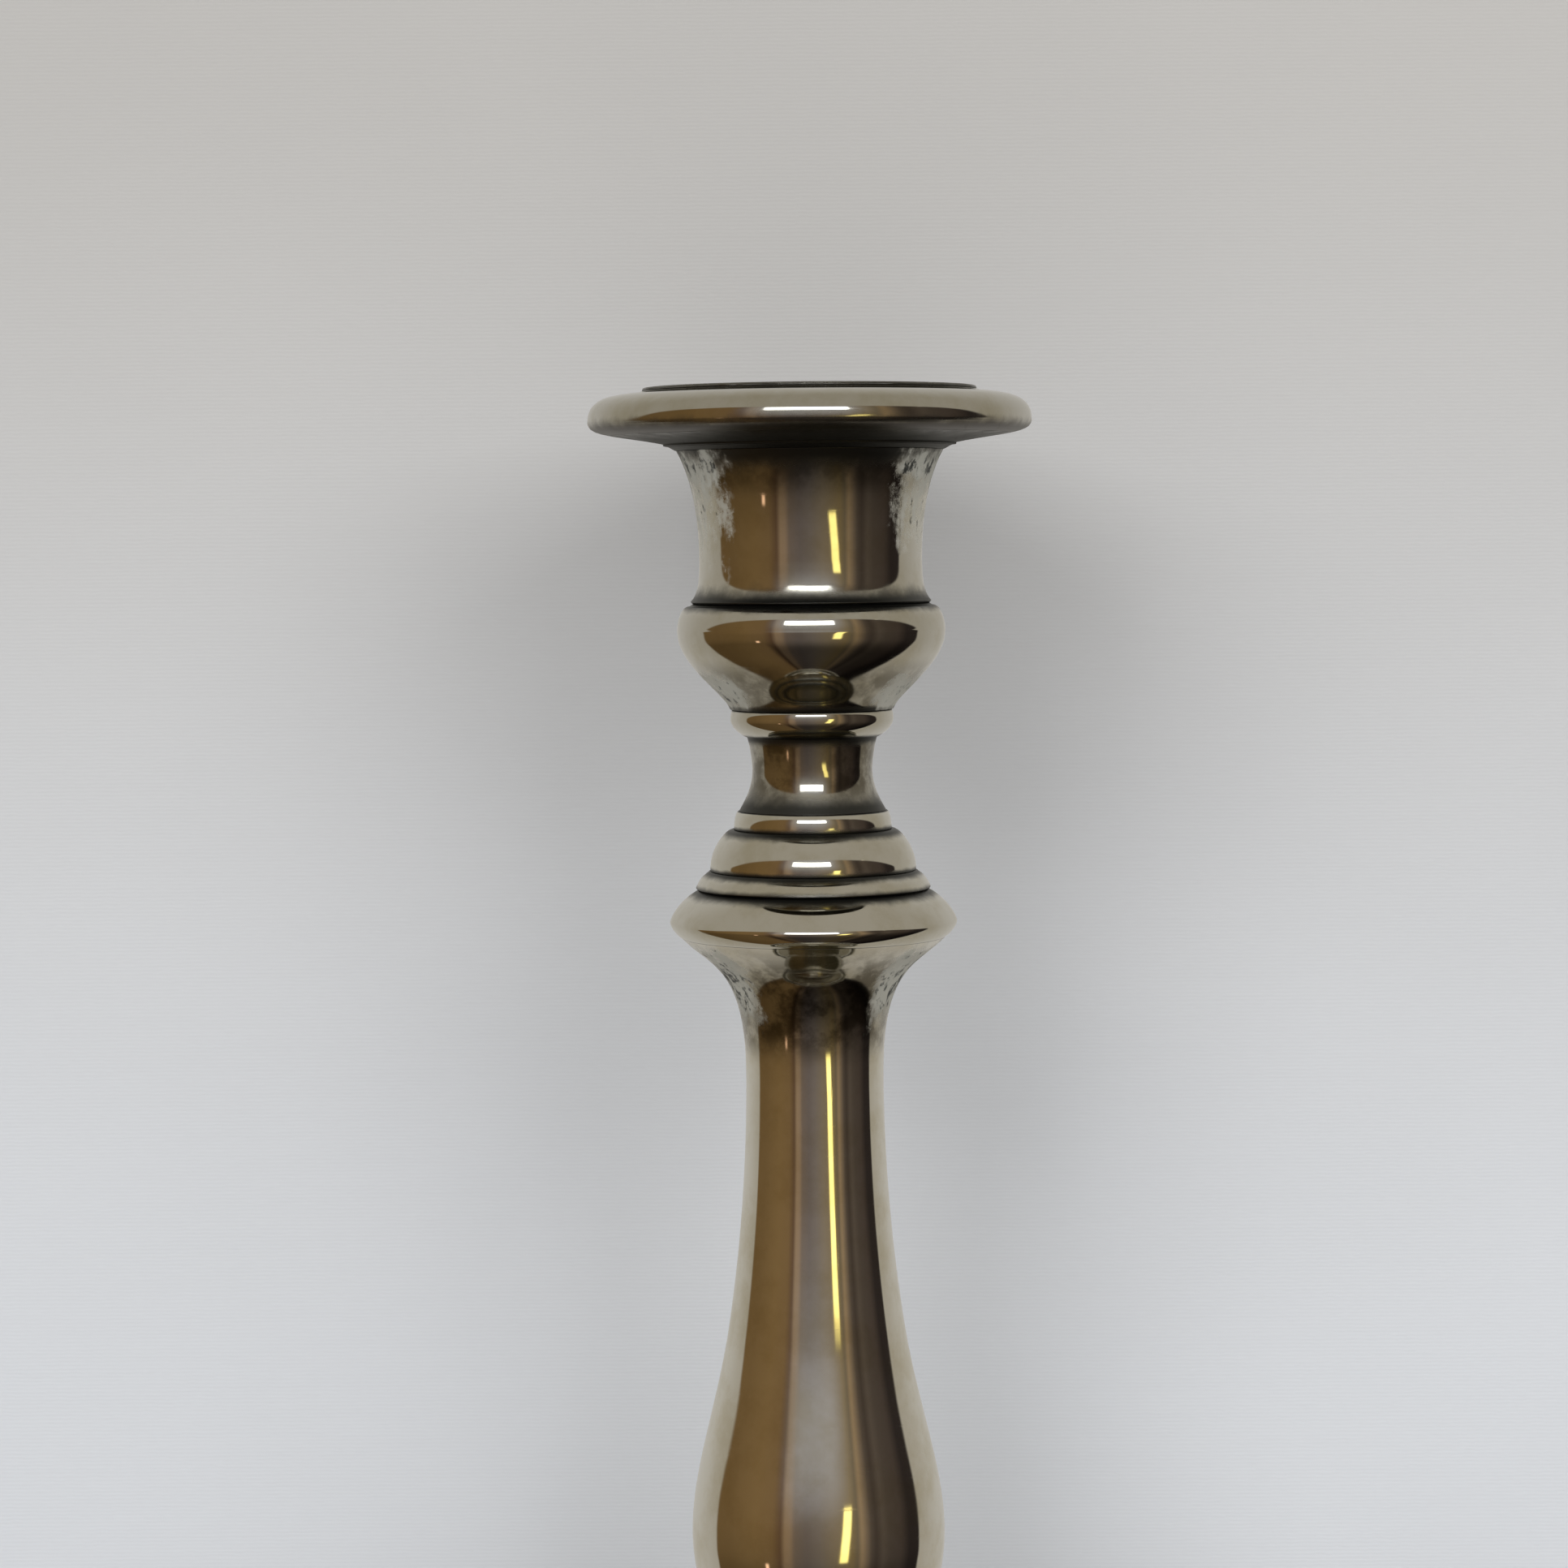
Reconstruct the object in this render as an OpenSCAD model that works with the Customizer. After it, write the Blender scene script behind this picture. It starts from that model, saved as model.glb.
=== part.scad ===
// Loaded silver candlestick with a lift-off nozzle.
// Thin silver shells are stacked on a steel tie rod and filled with pitch.
// The origin is on the table, under the middle of the foot, and +Z is up.

/* [Sheet and fits] */
// Thickness of the silver sheet
wall = 0.6; // [0.4:0.05:0.8]
// Space that the cooled pitch leaves behind each shell
pitch_gap = 0.15; // [0.05:0.05:0.3]
// Radial clearance of the nozzle's sleeve in the cup's liner
nozzle_clear = 0.15; // [0.1:0.05:0.3]
// Radial gap between the liner and the cup's waist
liner_gap = 0.05; // [0.02:0.01:0.15]
// Radial clearance of the tie rod in nuts, washers and pitch
rod_gap = 0.05; // [0.02:0.01:0.15]

/* [Nozzle] */
// Radius of the candle socket, for a seven-eighths inch candle
candle_bore_r = 11.15; // [10.5:0.05:13.5]
// Depth of the candle socket
socket_depth = 22; // [16:0.5:24]
// Wall of the nozzle's sleeve
sleeve_wall = 0.5; // [0.4:0.05:0.7]
// How far the socket's mouth lies below the pan's top edge
mouth_drop = 2; // [1:0.1:2.6]
// Largest radius of the drip pan
pan_r = 25.75; // [24.5:0.05:34]
// Height of the pan, from its seat on the cup to its top edge
pan_h = 6.35; // [5.9:0.05:8]
// How far the pan's widest edge lies below its top
pan_edge_drop = 3.55; // [3.2:0.05:3.8]
// Outer radius of the raised ring on the pan
ring_r = 19.4; // [18.4:0.05:22]
// Width of the raised ring
ring_w = 1.4; // [1:0.1:2]
// Height of the raised ring
ring_h = 0.4; // [0.3:0.05:0.6]
// Radius of the wire inside the pan's rolled edge
rim_wire_r = 1; // [0.6:0.05:1.1]

/* [Cup] */
// Height of the flared cup, below the liner's flange
cup_h = 17.75; // [15:0.05:21.5]
// How far the cup's waist lies below its top
cup_waist_drop = 12.5; // [11:0.1:13.5]
// How far the cup's top stands out past its waist
cup_lip_out = 2.55; // [2.2:0.05:3]
// How far the cup's foot stands out past its waist
cup_foot_out = 1.06; // [0.9:0.02:1.5]
// Wall of the liner, and thickness of its flange
liner_wall = 0.5; // [0.4:0.05:0.7]
// How far the liner's flange stands out past the cup's top
flange_out = 1; // [0.6:0.05:1.4]
// Height of the bulb under the cup
bulb_h = 12.3; // [11:0.1:15]
// How far the bulb stands out past the cup's waist
bulb_out = 2.65; // [2.3:0.05:3.2]
// How far the bulb's widest line lies below its top
bulb_drop = 3.2; // [2.8:0.1:4]
// Radius of the collar ring under the bulb
collar_r = 9.5; // [8.8:0.05:11.5]
// Height of the collar ring
collar_h = 3.2; // [2.6:0.05:3.9]

/* [Knop] */
// Smallest radius of the waist spool
waist_r = 7; // [6.3:0.05:8.4]
// Height of the waist spool
waist_h = 8.65; // [7.5:0.05:10.5]
// Radius of the small bead ring under the waist
bead_r = 9.2; // [9:0.05:9.4]
// Height of the small bead ring
bead_h = 2.15; // [1.7:0.05:2.6]
// Radius of the cushion ring
cushion_r = 12; // [11.4:0.05:12.4]
// Height of the cushion ring
cushion_h = 4.8; // [4:0.05:5.8]
// Radius of the thin fillet ring
fillet_r = 13.7; // [13.4:0.05:14]
// Height of the thin fillet ring
fillet_h = 2.25; // [1.9:0.05:2.7]
// Radius of the knop
knop_r = 16.76; // [15.6:0.02:20]
// Height of the knop
knop_h = 5.45; // [4.6:0.05:6.5]

/* [Stem] */
// Radius of the knop's underside, where the stem begins
shoulder_r = 15.5; // [14:0.05:15.6]
// Height of the curved shoulder
shoulder_h = 16.2; // [13.5:0.1:19.5]
// Smallest radius of the stem
neck_r = 8.05; // [7:0.05:9.6]
// Radius of the stem halfway down
swell_r = 10.15; // [9.7:0.05:11]
// Length from the neck to the halfway line
swell_drop = 28.6; // [24:0.1:34.4]
// Largest radius of the stem's belly
belly_r = 14.88; // [12.8:0.02:17.9]
// Length from the halfway line to the belly
belly_drop = 25.7; // [21.5:0.1:31]
// Height of the bowl under the belly
bowl_h = 20; // [17:0.1:24]
// Radius of the bowl's foot
bowl_foot_r = 8; // [7.4:0.05:9]

/* [Lower knop] */
// Radius of the ring under the bowl
foot_ring_r = 10.2; // [9.4:0.05:12]
// Height of the ring under the bowl
foot_ring_h = 3.3; // [2.8:0.1:4]
// Smallest radius of the lower spool
spool_r = 6.8; // [6:0.05:7.8]
// Height of the lower spool
spool_h = 12; // [10:0.1:14.4]
// Radius of the lower knop
low_knop_r = 13.6; // [11.4:0.05:16.4]
// Height of the lower knop
low_knop_h = 9; // [7.5:0.1:10.8]

/* [Foot] */
// Radius at the top of the foot's neck
foot_neck_r = 8.8; // [8:0.05:9.8]
// Height of the foot's flared neck
foot_neck_h = 19; // [16:0.1:23]
// Radius where the neck meets the dome
dome_top_r = 24; // [20:0.1:28]
// Radius of the dome
dome_r = 43.5; // [37:0.1:45]
// Width of the dome's ledge under the neck
dome_lap = 2; // [1:0.1:4]
// Height of the dome
dome_h = 16; // [13.5:0.1:19.5]
// Radius of the hollow step under the dome
step_r = 48; // [46.5:0.1:50]
// Height of the hollow step
step_h = 6; // [5:0.1:7.2]
// Radius of the foot's rim
base_r = 54; // [52:0.1:65]
// Height of the foot's rim
rim_h = 9; // [8.4:0.1:10.8]
// Width of the hem turned in under the rim
hem_w = 3; // [2.4:0.1:4]

/* [Core] */
// Radius of the steel tie rod
rod_r = 2.5; // [2:0.1:3]
// Length of bare rod past each nut
rod_end = 0.6; // [0.4:0.1:1.2]
// Height of the upper nut
nut_h = 4; // [3:0.1:4.8]
// Radius of the nuts across their corners
nut_r = 4.62; // [4.2:0.02:5.4]
// Radius of the washers
washer_r = 5.5; // [5:0.1:6.4]
// Thickness of the washers
washer_t = 1; // [0.8:0.1:1.2]
// Thickness of the base plate over its recess
plate_web = 1; // [0.8:0.1:3]
// Height of the lower nut
low_nut_h = 2.4; // [2:0.1:4]
// How far the felt stands below the hem
felt_proud = 0.6; // [0.3:0.05:0.8]

/* [Hidden] */
$fn = 96;

// Straight pieces in one curved stretch of an outline
steps = 10;
// Bevel that makes the dark line where two turned pieces meet
bevel = 0.25;
// Straight pieces of the pan's underside that belong to its rolled edge
roll_steps = 5;
// Play around the felt, the rim's wire, the lower nut and the liner's foot
loose_fit = 0.2;
// Side and rise of the slope that leads the pan's underside onto its seat
seat_side = 0.6;
seat_rise = 0.28;
// How much each turned ring stands out past the piece above it
ledge = 0.1;
// How far the bead stands out past the waist's foot
bead_out = 0.6;
// How far the lower spool flares at each end
spool_flare = 1.5;
// Share of the hem that carries the base plate
hem_lap = 0.4;
// How far the rim's wire lies above the pan's widest line
wire_rise = 0.6;
// Room between the sleeve's floor and the liner's cone
cone_room = 1;
// How far each cutter runs past the piece that it cuts
past = 1;
// Depth of the collar's widest line, as a share of its height
collar_line = 0.34;
// Heights of the narrowest or widest lines, as shares of each piece's height
waist_line = 0.56;
knop_line = 0.32;
spool_line = 0.55;
low_knop_line = 0.45;
rim_line = 0.45;

// Radii that follow from what sits inside
sleeve_r = candle_bore_r + sleeve_wall;
liner_bore_r = sleeve_r + nozzle_clear;
liner_r = liner_bore_r + liner_wall;
cup_waist_r = liner_r + liner_gap + wall;
cup_lip_r = cup_waist_r + cup_lip_out;
cup_foot_r = cup_waist_r + cup_foot_out;
flange_r = cup_lip_r + flange_out;
bulb_r = cup_waist_r + bulb_out;
waist_end_r = waist_r + wall;
waist_foot_r = bead_r - bead_out;
spool_end_r = spool_r + spool_flare;
dome_ledge_r = dome_top_r - dome_lap;
hem_r = base_r - hem_w;
plate_r = hem_r + hem_w * hem_lap;
rod_hole_r = rod_r + rod_gap;
liner_foot_r = collar_r - wall - loose_fit;
recess_d = washer_t + low_nut_h + rod_end + loose_fit;

// Heights, from the table up
z_hem = felt_proud;
z_plate = z_hem + wall;
z_recess = z_plate + recess_d;
z_pitch = z_recess + plate_web;
z_step = z_hem + rim_h;
z_dome = z_step + step_h;
z_foot_neck = z_dome + dome_h;
z_low_knop = z_foot_neck + foot_neck_h;
z_spool = z_low_knop + low_knop_h;
z_foot_ring = z_spool + spool_h;
z_bowl = z_foot_ring + foot_ring_h;
z_belly = z_bowl + bowl_h;
z_swell = z_belly + belly_drop;
z_neck = z_swell + swell_drop;
z_knop = z_neck + shoulder_h;
z_fillet = z_knop + knop_h;
z_cushion = z_fillet + fillet_h;
z_bead = z_cushion + cushion_h;
z_waist = z_bead + bead_h;
z_collar = z_waist + waist_h;
z_bulb = z_collar + collar_h;
z_cup = z_bulb + bulb_h;
z_flange = z_cup + cup_h;
z_seat = z_flange + liner_wall;
z_pan = z_seat + pan_h;
z_mouth = z_pan - mouth_drop;
z_socket = z_mouth - socket_depth;
z_sleeve = z_socket - wall;
z_washer = z_bulb + liner_wall;
z_nut = z_washer + washer_t;
z_rod_top = z_nut + nut_h + rod_end;
z_low_washer = z_recess - washer_t;
z_low_nut = z_low_washer - low_nut_h;
z_rod_foot = z_low_nut - rod_end;

// A point on a cubic curve through four control points
function cubic(a, b, c, d, t) =
    pow(1 - t, 3) * a + 3 * pow(1 - t, 2) * t * b + 3 * (1 - t) * t * t * c + pow(t, 3) * d;

// A curve from a to b. Each handle is given as its share of the way across and down.
function sweep(a, leave, arrive, b) =
    let (way = b - a,
         p = a + [leave.x * way.x, leave.y * way.y],
         q = b - [arrive.x * way.x, arrive.y * way.y])
    [for (i = [0:steps]) cubic(a, p, q, b, i / steps)];

// Unit vector to the right of a path, which is the inside of a shell drawn downwards
function right_of(way) = [way.y, -way.x] / norm(way);

// The point, kept between two heights
function held(p, low, high) = [p.x, min(max(p.y, low), high)];

// Every point of the path moved to its inside by t, the two end points along first and last.
// No point goes past the path's own lowest and highest, so the ends stay level.
function moved_in(path, t, first, last) =
    let (n = len(path) - 1,
         heights = [for (p = path) p.y],
         low = min(heights),
         high = max(heights))
    [for (i = [0:n])
        i == 0 ? path[0] + t * first
        : i == n ? path[n] + t * last
        : held(path[i] + t * right_of(path[i + 1] - path[i - 1]), low, high)];

// Whether the moved path still runs the way of the path itself between points i and i + 1
function runs_on(path, moved, i) = (path[i + 1] - path[i]) * (moved[i + 1] - moved[i]) > 0;

// The inside line of a shell. It leaves out the points next to the ends, where the bevels are
// finer than the sheet, and the points at which it would fold back in a tight bend.
function inset(path, t, first = [-1, 0], last = [-1, 0]) =
    let (n = len(path) - 1,
         moved = moved_in(path, t, first, last))
    concat([moved[0]],
        [for (i = [2:n - 2]) if (runs_on(path, moved, i - 1) && runs_on(path, moved, i)) moved[i]],
        [moved[n]]);

function part_of(path, from, to) = [for (i = [from:to]) path[i]];
function without_first(path) = part_of(path, 1, len(path) - 1);
function reversed(path) = [for (i = [len(path) - 1:-1:0]) path[i]];

// Outlines, each drawn from its top or its middle outwards and down
pan_edge = [pan_r, z_pan - pan_edge_drop];
pan_under = sweep(pan_edge, [0, 0.65], [0.57, 0.41],
    [flange_r + seat_side, z_seat + seat_rise]);
pan_path = concat(
    sweep([sleeve_r, z_mouth], [0.3, 0.05], [0.4, 0.3], [ring_r - ring_w - loose_fit, z_pan]),
    sweep([ring_r, z_pan], [0.25, 0.17], [0, 1.05], pan_edge),
    part_of(pan_under, 1, roll_steps));
under_path = concat(part_of(pan_under, roll_steps, steps),
    [[flange_r, z_seat], [sleeve_r, z_seat]]);
cup_waist = [cup_waist_r, z_flange - cup_waist_drop];
cup_path = concat(
    sweep([cup_lip_r, z_flange], [0.41, 0.15], [0, 0.55], cup_waist),
    without_first(sweep(cup_waist, [0, 0.64], [0.7, 0.16], [cup_foot_r, z_cup + bevel])),
    [[cup_foot_r - bevel, z_cup]]);
bulb_edge = [bulb_r, z_cup - bulb_drop];
bulb_path = concat(
    [[cup_foot_r - bevel, z_cup]],
    sweep([cup_foot_r + ledge, z_cup - bevel], [0.7, 0], [0, 0.42], bulb_edge),
    without_first(sweep(bulb_edge, [0, 0.43], [0.1, 0.21], [collar_r, z_bulb])));
collar_edge = [collar_r, z_bulb - collar_h * collar_line];
collar_path = concat(
    sweep([collar_r - bevel, z_bulb], [0.5, 0.1], [0, 0.6], collar_edge),
    without_first(sweep(collar_edge, [0, 0.4], [0.5, 0.2], [waist_end_r + ledge, z_collar])));
waist_middle = [waist_r, z_waist + waist_h * waist_line];
waist_path = concat(
    sweep([waist_end_r, z_collar], [0.29, 0.05], [0, 0.29], waist_middle),
    without_first(sweep(waist_middle, [0, 0.43], [0.42, 0.24], [waist_foot_r, z_waist])));
bead_path = sweep([waist_foot_r + ledge, z_waist], [0.6, 0.1], [0, 0.5], [bead_r, z_bead]);
cushion_path = concat(
    sweep([bead_r + bevel, z_bead], [0.4, 0.04], [0, 0.43], [cushion_r, z_cushion + 2 * bevel]),
    [[cushion_r, z_cushion]]);
fillet_path = concat(
    [[cushion_r + ledge, z_cushion]],
    sweep([cushion_r + ledge + bevel, z_cushion - bevel], [0.6, 0.3], [0.2, 0.4],
        [fillet_r, z_fillet + bevel]),
    [[fillet_r - bevel, z_fillet]]);
knop_edge = [knop_r, z_knop + knop_h * knop_line];
knop_path = concat(
    [[fillet_r - bevel, z_fillet]],
    sweep([fillet_r + ledge, z_fillet - bevel], [0.7, 0.34], [0, 0.11], knop_edge),
    without_first(sweep(knop_edge, [0, 0.35], [0.37, 0.15], [shoulder_r, z_knop])));
stem_path = concat(
    sweep([shoulder_r, z_knop], [0.43, 0.21], [0, 0.79], [neck_r, z_neck]),
    without_first(sweep([neck_r, z_neck], [0, 0.33], [0.67, 0.33], [swell_r, z_swell])),
    without_first(sweep([swell_r, z_swell], [0.3, 0.4], [0, 0.3], [belly_r, z_belly])),
    without_first(sweep([belly_r, z_belly], [0, 0.25], [0.67, 0.275], [bowl_foot_r, z_bowl])));
foot_ring_edge = [foot_ring_r, z_foot_ring + foot_ring_h / 2];
foot_ring_path = concat(
    sweep([bowl_foot_r + bevel, z_bowl], [0.8, 0], [0, 0.55], foot_ring_edge),
    without_first(sweep(foot_ring_edge, [0, 0.55], [0.8, 0], [spool_end_r + bevel, z_foot_ring])));
spool_middle = [spool_r, z_spool + spool_h * spool_line];
spool_path = concat(
    sweep([spool_end_r, z_foot_ring], [0.6, 0.1], [0, 0.5], spool_middle),
    without_first(sweep(spool_middle, [0, 0.5], [0.6, 0.1], [spool_end_r, z_spool])));
low_knop_edge = [low_knop_r, z_low_knop + low_knop_h * low_knop_line];
low_knop_path = concat(
    sweep([spool_end_r + bevel, z_spool], [0.7, 0.1], [0, 0.45], low_knop_edge),
    without_first(sweep(low_knop_edge, [0, 0.5], [0.7, 0.1], [foot_neck_r + bevel, z_low_knop])));
foot_neck_path = concat(
    sweep([foot_neck_r, z_low_knop], [0, 0.72], [0.6, 0.04], [dome_top_r, z_foot_neck + wall]),
    [[dome_top_r, z_foot_neck]]);
dome_path = concat(
    [[dome_ledge_r, z_foot_neck]],
    sweep([dome_top_r + bevel, z_foot_neck], [0.62, 0.04], [0, 0.6], [dome_r, z_dome + bevel]),
    [[dome_r - bevel, z_dome]]);
step_path = concat(
    [[dome_r + bevel, z_dome]],
    sweep([dome_r + 2 * bevel, z_dome - bevel], [0.1, 0.6], [0.6, 0.1], [step_r, z_step]));
rim_edge = [base_r, z_hem + rim_h * rim_line];
rim_path = concat(
    [[step_r - wall, z_step]],
    sweep([step_r + bevel, z_step], [0.85, 0], [0, 0.75], rim_edge),
    without_first(sweep(rim_edge, [0, 0.5], [0.2, 0.4], [base_r - 2 * bevel, z_hem])));

// Outlines of the cores of pitch, inside the shells
function core(path) = inset(path, wall + pitch_gap);

// The same inside a shell that starts with a flat ledge, which the pitch goes round
function ledge_core(path) =
    let (inner = inset(path, wall + pitch_gap, [0, -1]),
         corner = path[0] - [pitch_gap, 0])
    concat([corner, corner - [0, wall + pitch_gap]], without_first(inner));

stem_core = concat(core(waist_path), core(bead_path), core(cushion_path), core(fillet_path),
    core(knop_path), core(stem_path), core(foot_ring_path), core(spool_path),
    core(low_knop_path));
step_core = core(step_path);
base_core = concat(
    [for (p = core(foot_neck_path)) if (p.x < dome_ledge_r - pitch_gap) p],
    ledge_core(dome_path),
    part_of(step_core, 0, len(step_core) - 2),
    [for (p = ledge_core(rim_path)) if (p.y > z_pitch) p]);

module turned(outline) {
    rotate_extrude()
        polygon(outline);
}

// A shell of sheet, its outside given from the top down
module shell(path, thick = wall, first = [-1, 0], last = [-1, 0]) {
    turned(concat(path, reversed(inset(path, thick, first, last))));
}

// A solid turned piece with the tie rod's hole
module solid_ring(path, hole_r = rod_hole_r) {
    turned(concat(path, [[hole_r, path[len(path) - 1].y], [hole_r, path[0].y]]));
}

module nozzle_pan() {
    color("silver")
        shell(pan_path, first = [0, -1], last = [0, 1]);
}

module nozzle_under_plate() {
    color("darkgray")
        shell(under_path, first = [0, 1], last = [0, 1]);
}

module nozzle_rim_wire() {
    color("dimgray")
        rotate_extrude()
            translate([pan_r - wall - rim_wire_r - loose_fit, pan_edge.y + wire_rise])
                circle(r = rim_wire_r, $fn = 32);
}

module nozzle_top_ring() {
    slope = ring_h / 4;
    color("gray")
        turned([[ring_r - ring_w, z_pan], [ring_r, z_pan],
            [ring_r - slope, z_pan + ring_h], [ring_r - ring_w + slope, z_pan + ring_h]]);
}

module nozzle_sleeve() {
    color("silver")
        difference() {
            translate([0, 0, z_sleeve])
                cylinder(h = z_mouth - z_sleeve, r = sleeve_r);
            translate([0, 0, z_socket])
                cylinder(h = socket_depth + past, r = candle_bore_r);
        }
}

module cup_liner() {
    z_cone = z_sleeve - cone_room;
    color("gainsboro")
        turned([[liner_bore_r, z_seat], [flange_r, z_seat], [cup_lip_r + ledge, z_flange],
            [liner_r, z_flange], [liner_r, z_cone], [liner_foot_r, z_washer],
            [liner_foot_r, z_bulb], [rod_hole_r, z_bulb], [rod_hole_r, z_washer],
            [liner_foot_r - liner_wall, z_washer], [liner_bore_r, z_cone]]);
}

module cup_shell() {
    color("silver")
        shell(cup_path);
}

module cup_bulb() {
    color("lightgray")
        shell(bulb_path);
}

module collar_ring() {
    color("silver")
        solid_ring(collar_path);
}

module waist_spool() {
    color("lightgray")
        shell(waist_path);
}

module bead_ring() {
    color("silver")
        shell(bead_path);
}

module cushion_ring() {
    color("lightgray")
        shell(cushion_path);
}

module fillet_ring() {
    color("silver")
        shell(fillet_path);
}

module knop() {
    color("lightgray")
        shell(knop_path);
}

module stem_shell() {
    color("silver")
        shell(stem_path);
}

module foot_ring() {
    color("lightgray")
        shell(foot_ring_path);
}

module lower_spool() {
    color("silver")
        shell(spool_path);
}

module lower_knop() {
    color("lightgray")
        shell(low_knop_path);
}

module foot_neck() {
    color("silver")
        shell(foot_neck_path);
}

module foot_dome() {
    color("lightgray")
        shell(dome_path, first = [0, -1]);
}

module foot_step() {
    color("silver")
        shell(step_path);
}

// The rim's sheet is turned in under the base plate as a flat hem
module foot_rim() {
    hem = [[hem_r, z_hem], [hem_r, z_hem + wall]];
    color("lightgray")
        turned(concat(rim_path, hem, reversed(inset(rim_path, wall, [0, -1], [-0.5, 1]))));
}

module stem_filler() {
    color("saddlebrown")
        solid_ring(stem_core);
}

module base_filler() {
    color("sienna")
        solid_ring(concat(base_core, [[base_core[len(base_core) - 1].x, z_pitch]]));
}

module tie_rod() {
    color("slategray")
        translate([0, 0, z_rod_foot])
            cylinder(h = z_rod_top - z_rod_foot, r = rod_r);
}

// A hexagonal nut with the rod's hole
module nut(h) {
    difference() {
        cylinder(h = h, r = nut_r, $fn = 6);
        translate([0, 0, -past])
            cylinder(h = h + 2 * past, r = rod_hole_r);
    }
}

// A flat washer with the rod's hole
module washer() {
    difference() {
        cylinder(h = washer_t, r = washer_r);
        translate([0, 0, -past])
            cylinder(h = washer_t + 2 * past, r = rod_hole_r);
    }
}

module top_nut() {
    color("goldenrod")
        translate([0, 0, z_nut])
            nut(nut_h);
}

module top_washer() {
    color("lightslategray")
        translate([0, 0, z_washer])
            washer();
}

module bottom_nut() {
    color("goldenrod")
        translate([0, 0, z_low_nut])
            nut(low_nut_h);
}

module bottom_washer() {
    color("lightslategray")
        translate([0, 0, z_low_washer])
            washer();
}

module base_plate() {
    color("steelblue")
        difference() {
            translate([0, 0, z_plate])
                cylinder(h = z_pitch - z_plate, r = plate_r);
            translate([0, 0, z_plate - past])
                cylinder(h = recess_d + past, r = washer_r + loose_fit);
            translate([0, 0, z_plate])
                cylinder(h = z_pitch, r = rod_hole_r);
        }
}

module felt_pad() {
    color("darkgreen")
        cylinder(h = z_plate, r = hem_r - loose_fit);
}

nozzle_pan();
nozzle_under_plate();
nozzle_rim_wire();
nozzle_top_ring();
nozzle_sleeve();
cup_liner();
cup_shell();
cup_bulb();
collar_ring();
waist_spool();
bead_ring();
cushion_ring();
fillet_ring();
knop();
stem_shell();
foot_ring();
lower_spool();
lower_knop();
foot_neck();
foot_dome();
foot_step();
foot_rim();
stem_filler();
base_filler();
tie_rod();
top_nut();
top_washer();
bottom_nut();
bottom_washer();
base_plate();
felt_pad();
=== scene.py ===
from math import atan2, ceil, cos, degrees, hypot, pi, radians, sin

import bpy
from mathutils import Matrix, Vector


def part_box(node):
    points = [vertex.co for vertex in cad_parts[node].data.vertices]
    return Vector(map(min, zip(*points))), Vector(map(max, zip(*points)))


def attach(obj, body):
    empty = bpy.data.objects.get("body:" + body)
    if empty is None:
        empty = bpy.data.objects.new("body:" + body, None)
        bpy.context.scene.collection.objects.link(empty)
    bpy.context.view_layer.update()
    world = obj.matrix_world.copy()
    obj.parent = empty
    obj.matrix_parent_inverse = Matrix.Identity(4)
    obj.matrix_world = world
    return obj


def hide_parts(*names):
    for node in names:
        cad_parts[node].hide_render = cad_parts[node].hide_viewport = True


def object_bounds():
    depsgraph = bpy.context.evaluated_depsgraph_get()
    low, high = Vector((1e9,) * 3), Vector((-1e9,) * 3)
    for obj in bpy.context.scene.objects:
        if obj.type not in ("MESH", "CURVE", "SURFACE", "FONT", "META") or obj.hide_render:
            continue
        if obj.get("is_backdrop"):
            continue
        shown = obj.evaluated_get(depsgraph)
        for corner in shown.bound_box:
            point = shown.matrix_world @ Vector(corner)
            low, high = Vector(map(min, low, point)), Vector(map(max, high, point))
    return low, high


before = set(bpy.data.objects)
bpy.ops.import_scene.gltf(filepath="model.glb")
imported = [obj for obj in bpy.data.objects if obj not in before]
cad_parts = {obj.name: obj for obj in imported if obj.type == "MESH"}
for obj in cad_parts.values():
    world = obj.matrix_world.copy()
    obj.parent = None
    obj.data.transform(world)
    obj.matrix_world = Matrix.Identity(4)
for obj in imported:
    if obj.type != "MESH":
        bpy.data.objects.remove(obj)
cad_low, cad_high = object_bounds()
MM = 0.001


# ---- Foot -------------------------------------------------------------------------------
# The foot is four rings of thin silver sheet, spun over a chuck and soldered edge to edge:
# the rim with its hem turned in below, the hollow step, the dome and the flared neck.

# Points of a section are told apart to this many decimals of a metre
decimals = 7


def section_of(node):
    """The half section of a turned CAD node, as a closed loop of (radius, height) points."""
    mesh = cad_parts[node].data
    joined = {}
    for edge in mesh.edges:
        ends = [mesh.vertices[i].co for i in edge.vertices]
        if all(abs(p.y) < 10 ** -decimals and p.x >= 0 for p in ends):
            a, b = [(round(p.x, decimals), round(p.z, decimals)) for p in ends]
            if a != b:
                joined.setdefault(a, set()).add(b)
                joined.setdefault(b, set()).add(a)
    start = min(joined)
    loop, last = [start], None
    while True:
        ways = [p for p in joined[loop[-1]] if p != last]
        last = loop[-1]
        if not ways or ways[0] == start:
            return loop
        loop.append(ways[0])


def turn_at(loop, i):
    """How far the loop turns at point i, in degrees."""
    a, b, c = loop[i - 1], loop[i], loop[(i + 1) % len(loop)]
    way_in = atan2(b[1] - a[1], b[0] - a[0])
    way_out = atan2(c[1] - b[1], c[0] - b[0])
    return abs(degrees((way_out - way_in + pi) % (2 * pi) - pi))


def between(a, b, share):
    """The point at a share of the way from a to b."""
    return a[0] + (b[0] - a[0]) * share, a[1] + (b[1] - a[1]) * share


def on_curve(a, b, c, d, t):
    """A point of the smooth curve from b to c whose neighbours are a and d."""
    return tuple(
        0.5 * (2 * q + (r - p) * t + (2 * p - 5 * q + 4 * r - s) * t * t
               + (3 * q - p - 3 * r + s) * t ** 3)
        for p, q, r, s in zip(a, b, c, d))


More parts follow.
